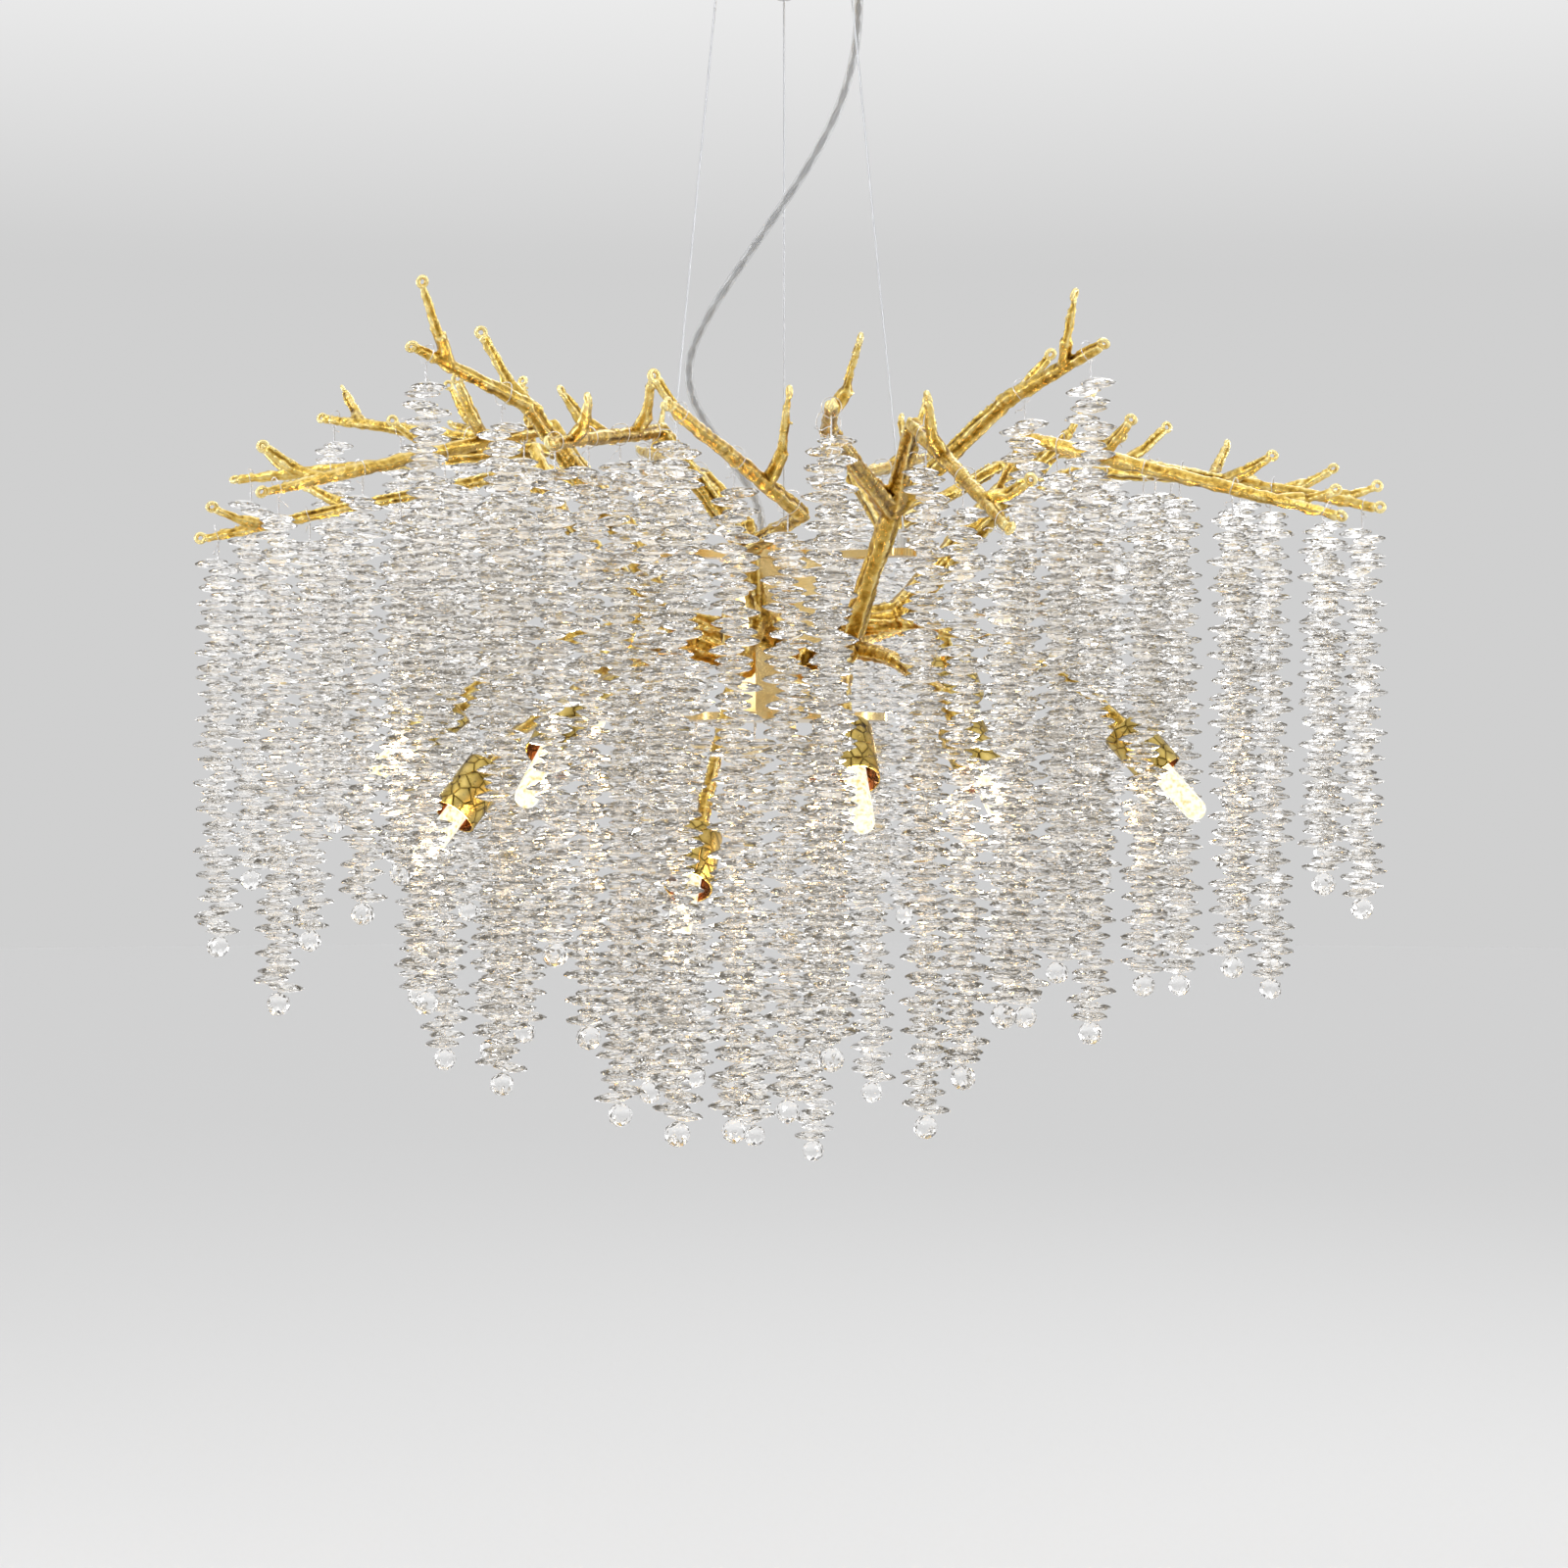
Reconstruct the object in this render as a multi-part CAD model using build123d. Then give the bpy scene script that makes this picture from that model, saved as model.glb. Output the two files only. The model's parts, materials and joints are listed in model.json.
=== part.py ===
"""Branching crystal chandelier on three steel cables.

Frame: millimetres, +Z up, origin on the ceiling at the centre of the canopy. The light hangs
below it, and its front faces -Y. Azimuths run anticlockwise from +X, seen from above.
"""

from build123d import *
import math
import os

# ---- driving dimensions: ceiling end ----
TURNED_SIDES = 12  # flats on the small turned pieces and on the holes that take them
CANOPY_R = 70.0  # outer radius of the canopy, a spun cup
CANOPY_H = 42.0
CANOPY_WALL = 1.5
BRACKET_L = 118.0  # flat bar screwed to the ceiling inside the canopy
BRACKET_W = 20.0
BRACKET_T = 2.5
BRACKET_TAB = 22.0  # turned-down ends that take the canopy's side screws
BRACKET_HOLES = 80.0  # distance between the two ceiling screw holes
BRACKET_HOLE_R = 2.5
SIDE_SCREW_R = 2.0
SIDE_SCREW_Z = -14.0
SIDE_SCREW_HEAD_R = 4.0
SIDE_SCREW_HEAD_T = 2.5
SIDE_SCREW_L = 16.0
CABLE_TOP_R = 51.0  # radius of the circle on which the cables leave the canopy
CABLE_R = 0.75
GRIP_R = 5.0  # cable grip, a turned nipple under the canopy
GRIP_L = 16.0
GRIP_SCREW_R = 3.0  # its threaded neck, through the canopy's floor
GRIP_SCREW_L = 8.0
CORD_GRIP_R = 7.0
CORD_GRIP_END_R = 5.0
CORD_GRIP_L = 11.0

# ---- driving dimensions: hub ----
HUB_DROP = 505.0  # ceiling to the hub's middle
HUB_FLATS = 9  # one flat for each branch
HUB_APOTHEM = 36.0
HUB_H = 104.0
HUB_BORE_R = 12.0
PLATE_T = 5.0
TOP_PLATE_R = 44.0
CABLE_HUB_R = 92.0  # radius of the circle on which the cables are anchored
ARM_W = 16.0  # the top plate's three arms
EYE_R = 9.0
CABLE_AZIMUTHS = (90.0, 210.0, 330.0)
ANCHOR_R = 4.5  # crimped stop that holds a cable's end
ANCHOR_L = 13.0
BOTTOM_PLATE_R = 70.0
ROD_R = 4.0  # rod that clamps the two plates on the hub
NUT_R = 8.0
NUT_H = 6.0
GLAND_AT = (-15.0, 10.0)  # the cord's gland on the top plate
GLAND_R = 7.0
GLAND_L = 10.0

# ---- driving dimensions: power cord ----
CORD_D = 6.5
CORD_SIDES = 6

# ---- driving dimensions: branches ----
LIMB_SIDES = 5
TENON = 9.0  # square tenon by which a branch is brazed in the hub
TENON_L = 8.0
ROOT_FLANGE_R = 12.5
ROOT_FLANGE_T = 5.0
ROOT_R = 9.0
SHOULDER_REACH = 84.0  # where a branch leaves its first straight length
SHOULDER_RISE = 8.0
FORK_R = 7.5
KNEE_R = 5.8
TIP_R = 3.6
TIP_PAST_HOOK = 9.0
KNEE_BEFORE_HOOK = 22.0
PRONG_R = 4.2
PRONG_TIP_R = 3.0

# ---- driving dimensions: crystal strands ----
DISC_R = 12.0
DISC_OFF_CENTRE = 5.5
DISC_STEP = 50.0
WIRE_R = 0.8
WIRE_L = 12.0
BALL_R = 7.5
BALL_NECK = 5.0
BALL_END_R = 2.5
NECK_R = 1.2

# ---- driving dimensions: lamps ----
CUP_R = 15.0
CUP_WALL = 1.5
CUP_FLOOR = 3.0
CUP_L = 40.0
CUP_SIDES = 12
CUP_SEAT_R = 7.5
SOCKET_R = 10.5
SOCKET_L = 20.0
SOCKET_SLOT = (13.2, 5.2)
SLOT_DEPTH = 12.0
PINCH = (12.6, 4.6)
BULB_R = 7.5
BULB_L = 56.0  # length of the glass beyond the socket's slot
BULB_SIDES = 8

# ---- clearances ----
SEAT_GAP = 0.3  # between pieces that move apart, where one rests by another
FIT = 0.3  # radial, round a piece that passes through a hole
LAMP_GAP = 1.0  # least room between a strand and a lamp

# Each row of strands hangs in line under one tine of a branch: azimuth at its outer end, azimuth
# at its inner end, reach of the outer hook, pitch of the hooks, height of the tine above the
# hub's middle at the outer hook and three pitches further in, and the drop of each strand.
ROWS = {
    "row_01": (9, 12, 383, 60, 100, 130, (255, 300, 330, 350)),
    "row_02": (29, 31, 385, 60, 125, 125, (270, 330, 300)),
    "row_03": (48, 49, 380, 60, 165, 125, (290, 340, 330)),
    "row_04": (73, 74, 385, 60, 160, 130, (330, 360, 320, 350)),
    "row_05": (107, 108, 385, 60, 165, 130, (320, 360, 340, 330)),
    "row_06": (131, 130, 380, 60, 175, 130, (330, 310, 350)),
    "row_07": (150, 149, 385, 60, 170, 140, (300, 330, 350)),
    "row_08": (170, 168, 380, 60, 115, 130, (290, 255, 380, 360)),
    "row_09": (190, 191, 380, 60, 65, 105, (280, 290, 260, 390)),
    "row_10": (210, 207, 365, 58, 85, 130, (330, 290, 400, 400)),
    "row_11": (229, 231, 330, 62, 160, 105, (400, 435)),
    "row_12": (250, 245.5, 382, 60, 95, 120, (300, 360, 420, 420)),
    "row_13": (261, 280, 385, 64, 110, 50, (415, 400, 375)),
    "row_14": (274, 277, 381, 60, 112, 105, (375, 350)),
    "row_15": (289, 289, 383, 60, 50, 140, (290, 360, 425)),
    "row_16": (310, 311, 292, 58, 165, 110, (425, 400)),
    "row_17": (331, 330, 385, 60, 70, 120, (240, 310, 340, 350)),
    "row_18": (350, 350, 388, 60, 85, 120, (275, 340, 350, 300)),
}
CENTRE_X = (-60.0, -20.0, 20.0, 60.0)  # hooks under the bottom plate
CENTRE_DROPS = (250.0, 290.0, 300.0, 260.0)

# Each lamp: azimuth, reach and height of the bulb's middle, and how far it tips below level.
LAMPS = {
    "a": (180.0, 268.0, -83.0, 40.0),
    "b": (219.0, 280.0, -134.0, 48.0),
    "c": (238.0, 284.0, -97.0, 48.0),
    "d": (119.5, 282.0, -42.0, 50.0),
    "e": (97.0, 262.0, -8.0, 50.0),
    "f": (257.0, 270.0, -176.0, 50.0),
    "g": (280.0, 262.0, -112.0, 50.0),
    "h": (298.5, 268.0, -109.0, 48.0),
    "i": (60.5, 290.0, -49.0, 50.0),
    "j": (340.3, 275.0, -106.0, 48.0),
}
BULB_MIDDLE = 58.0  # from a cup's foot to the middle of the bulb that shows
CUPS_APART = "bcdi"  # cups kept as sub-parts of their own

# Each branch: azimuth of its flat on the hub, height of its root, reach and height of its fork,
# the rows that it carries and the lamps that it carries.
BRANCHES = {
    "branch_1": (20, 12, 150, 92, ("row_01", "row_02"), ()),
    "branch_2": (60, -10, 150, 84, ("row_03", "row_04"), ("i",)),
    "branch_3": (100, 14, 150, 88, ("row_05",), ("e",)),
    "branch_4": (140, -6, 155, 96, ("row_06", "row_07"), ("d",)),
    "branch_5": (180, 6, 150, 80, ("row_08", "row_09"), ("a",)),
    "branch_6": (220, -16, 145, 70, ("row_10", "row_11"), ("b", "c")),
    "branch_7": (260, 0, 135, 50, ("row_12", "row_13"), ("f",)),
    "branch_8": (300, -18, 140, 76, ("row_14", "row_15", "row_16"), ("h", "g")),
    "branch_9": (340, 4, 150, 82, ("row_17", "row_18"), ("j",)),
}

# Bare prongs that stand up from the tines: how many hook pitches from the outer hook, how far
# the prong runs outwards and to the left of the tine, and how high it rises.
PRONGS = {
    "row_01": ((0.5, 30, -16, 18), (2.4, 34, 14, 30)),
    "row_02": ((0.4, 26, 20, 26),),
    "row_03": ((1.4, 30, -18, 40),),
    "row_04": ((0.5, 24, 18, 30), (1.6, 20, -22, 46)),
    "row_05": ((0.5, 26, -16, 34),),
    "row_06": ((0.5, 22, 16, 30), (1.5, 30, -14, 44)),
    "row_07": ((0.4, 28, -18, 22),),
    "row_08": ((0.5, 26, -20, 22), (2.4, 36, 16, 26)),
    "row_09": ((0.5, 32, 18, 16), (1.5, 30, -18, 20)),
    "row_10": ((0.5, 30, -18, 26), (2.5, 30, 20, 42)),
    "row_11": ((0.3, 34, 14, 34), (1.5, 26, -24, 40)),
    "row_12": ((0.5, 26, 18, 22), (1.6, 22, -20, 26), (2.5, 20, 16, 30)),
    "row_13": ((0.5, 24, -20, 24), (1.6, 20, 24, 44)),
    "row_14": ((0.5, 20, 16, 38),),
    "row_15": ((0.5, 26, 18, 20), (1.5, 22, -18, 40)),
    "row_16": ((0.4, 26, -16, 30), (1.4, 24, 20, 22)),
    "row_17": ((0.5, 30, 18, 14), (2.5, 28, -18, 26)),
    "row_18": ((0.4, 32, 16, 14), (1.5, 30, -20, 18)),
}

# The cord's way from the canopy down to the hub, chosen by hand: x, y and height above the
# hub's middle. It leaves its first grip and enters its gland straight.
CORD_GRIP_AT = (51.5, 10.0)
CORD_WAY = (
    (51.5, 10.0, 430.0),
    (49.0, 9.0, 401.0),
    (39.5, 6.0, 365.0),
    (19.5, 1.5, 325.5),
    (-4.5, -3.0, 289.0),
    (-30.0, -3.5, 252.5),
    (-53.0, 0.0, 218.0),
    (-65.5, 4.0, 191.0),
    (-64.5, 7.0, 168.0),
    (-54.5, 9.0, 148.0),
    (-37.0, 10.0, 123.0),
    (-20.3, 10.3, 98.3),
    (-15.0, 10.0, 81.0),
)


# ---- worked-out levels ----
HUB_Z = -HUB_DROP
HUB_TOP = HUB_Z + HUB_H / 2
PLATE_TOP = HUB_TOP + PLATE_T
HUB_BOTTOM = HUB_Z - HUB_H / 2
PLATE_BOTTOM = HUB_BOTTOM - PLATE_T


def polar(reach, azimuth, z=0.0):
    """The point at this reach and azimuth from the middle line."""
    a = math.radians(azimuth)
    return Vector(reach * math.cos(a), reach * math.sin(a), z)


def level_cross(direction):
    """The level unit vector square to a direction, to its left."""
    return Vector(0, 0, 1).cross(direction).normalized()


def ring(plane, radius, sides):
    """The corners of a regular outline on a plane, the first of them on the plane's X."""
    turns = [2 * math.pi * i / sides for i in range(sides)]
    return [plane.from_local_coords(Vector(radius * math.cos(t), radius * math.sin(t))) for t in turns]


def skin(rings):
    """The solid between rings of corners, with flat faces: one where four corners lie level, else two."""
    faces = [Face(Wire.make_polygon(rings[0][::-1])), Face(Wire.make_polygon(rings[-1]))]
    for low, high in zip(rings, rings[1:]):
        for i in range(len(low)):
            a, b, c, d = low[i - 1], low[i], high[i], high[i - 1]
            if abs((b - a).cross(c - a).normalized().dot(d - a)) < 1e-8:
                faces.append(Face(Wire.make_polygon([a, b, c, d])))
            else:
                faces.append(Face(Wire.make_polygon([a, b, c])))
                faces.append(Face(Wire.make_polygon([a, c, d])))
    return Solid(Shell(faces))


def limb_rings(points, radii):
    """The outlines of a limb through points, one corner down, its ends square to their runs."""
    left = level_cross(points[-1] - points[-2])
    rings = []
    for i, (point, radius) in enumerate(zip(points, radii)):
        before = points[max(i - 1, 0)]
        after = points[min(i + 1, len(points) - 1)]
        if 0 < i < len(points) - 1:
            way = (point - before).normalized() + (after - point).normalized()
        else:
            way = after - before
        rings.append(ring(Plane(point, x_dir=left.cross(way), z_dir=way), radius, LIMB_SIDES))
    return rings


def limb(points, radii):
    """A tapering limb through points."""
    return skin(limb_rings(points, radii))


def row_line(name):
    """The outer hook point of a row, the unit vector from it inwards along the tine, and the pitch."""
    outer_azimuth, inner_azimuth, reach, pitch, outer_height, inner_height, drops = ROWS[name]
    outer = polar(reach, outer_azimuth, HUB_Z + outer_height)
    inner = polar(reach - 3 * pitch, inner_azimuth, HUB_Z + inner_height)
    return outer, (inner - outer).normalized(), (inner - outer).length / 3


def tine_ends(name):
    """A tine's straight length, from its knee to its tip."""
    outer, inwards, pitch = row_line(name)
    knee = outer + inwards * (pitch * (len(ROWS[name][6]) - 1) + KNEE_BEFORE_HOOK)
    return knee, outer - inwards * TIP_PAST_HOOK


def fork(branch_name):
    """The point where a branch divides."""
    azimuth, _, reach, height = BRANCHES[branch_name][:4]
    return polar(reach, azimuth, HUB_Z + height)


def tine_way(name):
    """The points and radii of a tine, from its branch's fork to its tip."""
    carrier = next(key for key, branch_data in BRANCHES.items() if name in branch_data[4])
    return [fork(carrier), *tine_ends(name)], [FORK_R, KNEE_R, TIP_R]


def hook_top(name, hook):
    """The top of a strand's wire, just clear of the tine's lower edge below a hook point."""
    _, knee_ring, tip_ring = limb_rings(*tine_way(name))
    start, end = knee_ring[0], tip_ring[0]
    level = Vector(end.X - start.X, end.Y - start.Y)
    edge = start + (end - start) * ((hook - start).dot(level) / level.dot(level))
    slope = abs(end.Z - start.Z) / level.length
    return edge - Vector(0, 0, SEAT_GAP + WIRE_R * slope)


def prong(name, place, outwards, leftwards, rise):
    """A short bare prong that stands up from a row's tine and bends outwards at its end."""
    outer, inwards, pitch = row_line(name)
    start = outer + inwards * (pitch * place)
    left = level_cross(-inwards)
    middle = start - inwards * (0.45 * outwards) + left * (0.6 * leftwards) + Vector(0, 0, 0.35 * rise)
    end = start - inwards * outwards + left * leftwards + Vector(0, 0, rise)
    return limb([start, middle, end], [PRONG_R, PRONG_R, PRONG_TIP_R])


def lamp_axis(key):
    """A lamp's foot and the unit vector along which its cup opens."""
    azimuth, reach, height, tip = LAMPS[key]
    slope = math.radians(tip)
    way = polar(math.cos(slope), azimuth, -math.sin(slope))
    return polar(reach, azimuth, HUB_Z + height) - way * BULB_MIDDLE, way


def lamp_plane(key):
    """A plane on a lamp's foot, whose Z runs out through the bulb and whose X is level."""
    foot, way = lamp_axis(key)
    return Plane(foot, x_dir=level_cross(way), z_dir=way)


def lamp_arm(key, shoulder):
    """The arm from a branch's shoulder down to the foot of a lamp's cup."""
    foot, way = lamp_axis(key)
    straight = foot - way * 2 * CUP_R
    middle = shoulder + (straight - shoulder) * 0.5 + Vector(0, 0, 0.18 * abs(straight.Z - shoulder.Z))
    return limb([shoulder, middle, straight, foot], [FORK_R, KNEE_R, KNEE_R, CUP_SEAT_R])


def tenon_plane(name):
    """The plane on the hub's flat at a branch's root, facing outwards, with its X level."""
    azimuth, root_height = BRANCHES[name][:2]
    return Plane(
        polar(HUB_APOTHEM, azimuth, HUB_Z + root_height),
        x_dir=level_cross(polar(1, azimuth)),
        z_dir=polar(1, azimuth),
    )


def branch(name):
    """One cast branch: its tenon, root flange, stem, fork, tines, prongs and lamp arms."""
    azimuth, root_height, _, _, rows, lamps = BRANCHES[name]
    root = tenon_plane(name)
    tenon = extrude(root.offset(-TENON_L) * Rectangle(TENON, TENON), TENON_L + ROOT_FLANGE_T)
    flange = extrude(root * RegularPolygon(ROOT_FLANGE_R, 2 * LIMB_SIDES), ROOT_FLANGE_T)
    neck = root.offset(ROOT_FLANGE_T / 2).origin
    shoulder = polar(SHOULDER_REACH, azimuth, HUB_Z + root_height + SHOULDER_RISE)
    limbs = [flange, tenon, limb([neck, shoulder, fork(name)], [ROOT_R, ROOT_R, FORK_R])]
    for row in rows:
        limbs.append(limb(*tine_way(row)))
        limbs += [prong(row, *where) for where in PRONGS[row]]
    limbs += [lamp_arm(lamp, shoulder) for lamp in lamps]
    return limbs[0].fuse(*limbs[1:])


def drop_past_lamps(top, drop):
    """A strand's drop, or as much of it as ends clear above a lamp that stands in its way."""
    for key in LAMPS:
        foot, way = lamp_axis(key)
        for share in (0.0, 0.25, 0.5, 0.75, 1.0):
            for start, end, radius in ((0, CUP_L, CUP_R), (CUP_L, CUP_FLOOR + SOCKET_L + BULB_L, BULB_R)):
                point = foot + way * (start + (end - start) * share)
                aside = math.hypot(point.X - top.X, point.Y - top.Y)
                if aside < DISC_R + DISC_OFF_CENTRE + radius + LAMP_GAP and point.Z < top.Z:
                    drop = min(drop, top.Z - point.Z - radius - LAMP_GAP)
    return drop


def strand(top, drop, turn):
    """One strand: its hook wire, the column of off-centre crystal discs and the ball at its end."""
    drop = drop_past_lamps(top, drop)
    ball_top = top.Z - drop + 2 * BALL_R
    discs_top = top.Z - WIRE_L
    discs_bottom = ball_top + BALL_NECK
    count = max(2, round((discs_top - discs_bottom) / DISC_STEP))
    step = (discs_top - discs_bottom) / count
    levels = [(top.Z, WIRE_R, 0.0, 0.0), (discs_top, WIRE_R, 0.0, 0.0)]
    for i in range(count):
        # the discs lean out to opposite sides in turn, and the pair of sides creeps round
        a = math.radians(turn + 180 * i + 34 * (i // 2))
        level = discs_top - step * (i + 0.35)
        levels.append((level, DISC_R, DISC_OFF_CENTRE * math.cos(a), DISC_OFF_CENTRE * math.sin(a)))
    levels.append((ball_top, NECK_R, 0.0, 0.0))
    levels.append((ball_top - BALL_R, BALL_R, 0.0, 0.0))
    levels.append((ball_top - 2 * BALL_R, BALL_END_R, 0.0, 0.0))
    rings = [
        ring(Plane((top.X + x, top.Y + y, z)).rotated((0, 0, turn)), radius, 4) for z, radius, x, y in levels
    ]
    return skin(rings[::-1])


def strand_row(name):
    """The strands under one tine, each hooked just below the tine's lower edge."""
    outer, inwards, pitch = row_line(name)
    number = int(name[-2:])
    strands = []
    for i, drop in enumerate(ROWS[name][6]):
        hook = outer + inwards * (pitch * i)
        top = hook_top(name, hook)
        strands.append(strand(top, drop - (hook.Z - top.Z), 47 * number + 31 * i))
    return Compound(children=strands)


def centre_row():
    """The strands that hang in line under the hub's bottom plate."""
    strands = []
    for i, (x, drop) in enumerate(zip(CENTRE_X, CENTRE_DROPS)):
        strands.append(strand(Vector(x, 0, PLATE_BOTTOM - SEAT_GAP), drop, 23 + 31 * i))
    return Compound(children=strands)


def lamp_cup(key):
    """A round cup, open at its mouth, that stands on its arm's end."""
    plane = lamp_plane(key)
    cup = extrude(plane * RegularPolygon(CUP_R, CUP_SIDES), CUP_L)
    floor = plane.offset(CUP_FLOOR)
    return cup - extrude(floor * RegularPolygon(CUP_R - CUP_WALL, CUP_SIDES), CUP_L)


def lamp_socket(key):
    """The porcelain socket on the cup's floor, with a slot for the bulb's flat base."""
    floor = lamp_plane(key).offset(CUP_FLOOR)
    body = extrude(floor * RegularPolygon(SOCKET_R, BULB_SIDES), SOCKET_L)
    slot_floor = floor.offset(SOCKET_L - SLOT_DEPTH)
    return body - extrude(slot_floor * Rectangle(*SOCKET_SLOT), SLOT_DEPTH + CUP_L)


def bulb(key):
    """A capsule bulb: a flat pinched base in the socket's slot and a round glass envelope."""
    mouth = lamp_plane(key).offset(CUP_FLOOR + SOCKET_L)
    pinch = extrude(mouth.offset(SEAT_GAP - SLOT_DEPTH) * Rectangle(*PINCH), SLOT_DEPTH)
    shape = ((0.0, 0.62), (0.12, 1.0), (0.88, 1.0), (1.0, 0.4))
    rings = [
        ring(mouth.offset(SEAT_GAP + BULB_L * along), BULB_R * share, BULB_SIDES) for along, share in shape
    ]
    return pinch + skin(rings)


def drilled(plane, radius, depth=3 * CANOPY_WALL):
    """The space of a hole, with clearance, through a thin wall at a plane."""
    return extrude(plane * RegularPolygon(radius + FIT, TURNED_SIDES), depth, both=True)


def side_screw_plane(azimuth):
    """The place of a side screw on the canopy's outside, facing outwards."""
    return Plane(polar(CANOPY_R, azimuth, SIDE_SCREW_Z), z_dir=polar(1, azimuth))


def canopy():
    """A spun steel cup whose rim lies on the ceiling, with holes for cables, cord and screws."""
    down = (Align.CENTER, Align.CENTER, Align.MAX)
    cup = Cylinder(CANOPY_R, CANOPY_H, align=down)
    cup -= Cylinder(CANOPY_R - CANOPY_WALL, CANOPY_H - CANOPY_WALL, align=down)
    for azimuth in CABLE_AZIMUTHS:
        cup -= drilled(Plane(polar(CABLE_TOP_R, azimuth, -CANOPY_H)), GRIP_SCREW_R)
    cup -= drilled(Plane((*CORD_GRIP_AT, -CANOPY_H)), CORD_D / 2)
    for turn in (0, 180):
        cup -= drilled(side_screw_plane(turn), SIDE_SCREW_R)
    return cup


def ceiling_bracket():
    """A flat bar on the ceiling with two screw holes and a turned-down tab at each end."""
    level = (Align.CENTER, Align.CENTER, Align.MAX)
    bar = Box(BRACKET_L, BRACKET_W, BRACKET_T, align=level)
    for side, turn in ((1, 0), (-1, 180)):
        tab_x = side * (BRACKET_L - BRACKET_T) / 2
        bar += Pos(tab_x, 0, 0) * Box(BRACKET_T, BRACKET_W, BRACKET_TAB, align=level)
        bar -= Pos(side * BRACKET_HOLES / 2, 0, 0) * Cylinder(BRACKET_HOLE_R, 4 * BRACKET_T)
        bar -= drilled(side_screw_plane(turn), SIDE_SCREW_R, CANOPY_R - BRACKET_L / 2 + 2 * BRACKET_T)
    return bar


def canopy_screws():
    """The two side screws that hold the canopy on the bracket's tabs."""
    screws = []
    for turn in (0, 180):
        out = side_screw_plane(turn)
        head = extrude(out * RegularPolygon(SIDE_SCREW_HEAD_R, TURNED_SIDES), SIDE_SCREW_HEAD_T)
        shank = extrude(out * RegularPolygon(SIDE_SCREW_R, TURNED_SIDES), -SIDE_SCREW_L)
        screws.append(head + shank)
    return Compound(children=screws)


def cable_ends(azimuth):
    """Where a cable leaves its grip under the canopy, and where it enters its stop on the hub."""
    top = polar(CABLE_TOP_R, azimuth, -CANOPY_H - GRIP_L)
    bottom = polar(CABLE_HUB_R, azimuth, PLATE_TOP + ANCHOR_L)
    return top, bottom


def cable(azimuth):
    """One taut steel cable between its grip and its stop."""
    return skin([ring(Plane(end), CABLE_R, LIMB_SIDES) for end in cable_ends(azimuth)[::-1]])


def cable_grips():
    """The three grips: a threaded neck through the canopy's floor and a turned body below it."""
    grips = []
    for azimuth in CABLE_AZIMUTHS:
        seat = Plane(polar(CABLE_TOP_R, azimuth, -CANOPY_H))
        body = extrude(seat * RegularPolygon(GRIP_R, TURNED_SIDES), -GRIP_L)
        grips.append(body + extrude(seat * RegularPolygon(GRIP_SCREW_R, TURNED_SIDES), GRIP_SCREW_L))
    return Compound(children=grips)


def cord_grip():
    """The strain relief by which the cord leaves the canopy."""
    seat = Plane((*CORD_GRIP_AT, -CANOPY_H))
    end = seat.offset(-CORD_GRIP_L)
    return skin([ring(end, CORD_GRIP_END_R, TURNED_SIDES), ring(seat, CORD_GRIP_R, TURNED_SIDES)])


def hub_core():
    """The nine-sided hub, bored for the wiring and the rod. Each flat takes one branch."""
    first_corner = min(flat[0] for flat in BRANCHES.values()) - 180 / HUB_FLATS
    corner_r = HUB_APOTHEM / math.cos(math.pi / HUB_FLATS)
    foot = Plane((0, 0, HUB_BOTTOM)).rotated((0, 0, first_corner))
    block = skin([ring(foot, corner_r, HUB_FLATS), ring(foot.offset(HUB_H), corner_r, HUB_FLATS)])
    for name in BRANCHES:
        block -= extrude(tenon_plane(name).offset(-TENON_L) * Rectangle(TENON, TENON), 2 * TENON_L)
    return block - Pos(0, 0, HUB_Z) * Cylinder(HUB_BORE_R, HUB_H)


def hub_top_plate():
    """The plate that carries the light: a disc with three arms, each with an eye for a cable."""
    outline = Circle(TOP_PLATE_R)
    for azimuth in CABLE_AZIMUTHS:
        outline += Rot(0, 0, azimuth) * Pos(CABLE_HUB_R / 2, 0) * Rectangle(CABLE_HUB_R, ARM_W)
        outline += Pos(polar(CABLE_HUB_R, azimuth)) * Circle(EYE_R)
    outline -= Circle(ROD_R + FIT)
    return extrude(Plane((0, 0, HUB_TOP)) * outline, PLATE_T)


def cable_stops():
    """The crimped stops that stand on the top plate's eyes, where the cables end."""
    stops = []
    for azimuth in CABLE_AZIMUTHS:
        seat = Plane(polar(CABLE_HUB_R, azimuth, PLATE_TOP))
        stops.append(extrude(seat * RegularPolygon(ANCHOR_R, TURNED_SIDES), ANCHOR_L))
    return Compound(children=stops)


def hub_bottom_plate():
    """The round plate under the hub, under which the middle strands hang."""
    outline = Circle(BOTTOM_PLATE_R) - Circle(ROD_R + FIT)
    return extrude(Plane((0, 0, PLATE_BOTTOM)) * outline, PLATE_T)


def hub_rod():
    """The rod through the hub and a nut at each end, which clamp both plates."""
    rod = extrude(Plane((0, 0, PLATE_BOTTOM)) * RegularPolygon(ROD_R, TURNED_SIDES), PLATE_TOP - PLATE_BOTTOM)
    rod += extrude(Plane((0, 0, PLATE_TOP)) * RegularPolygon(NUT_R, 6), NUT_H)
    return rod + extrude(Plane((0, 0, PLATE_BOTTOM)) * RegularPolygon(NUT_R, 6), -NUT_H)


def hub_gland():
    """The gland on the top plate, into which the cord runs."""
    return extrude(Plane((*GLAND_AT, PLATE_TOP)) * RegularPolygon(GLAND_R, TURNED_SIDES), GLAND_L)


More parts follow.
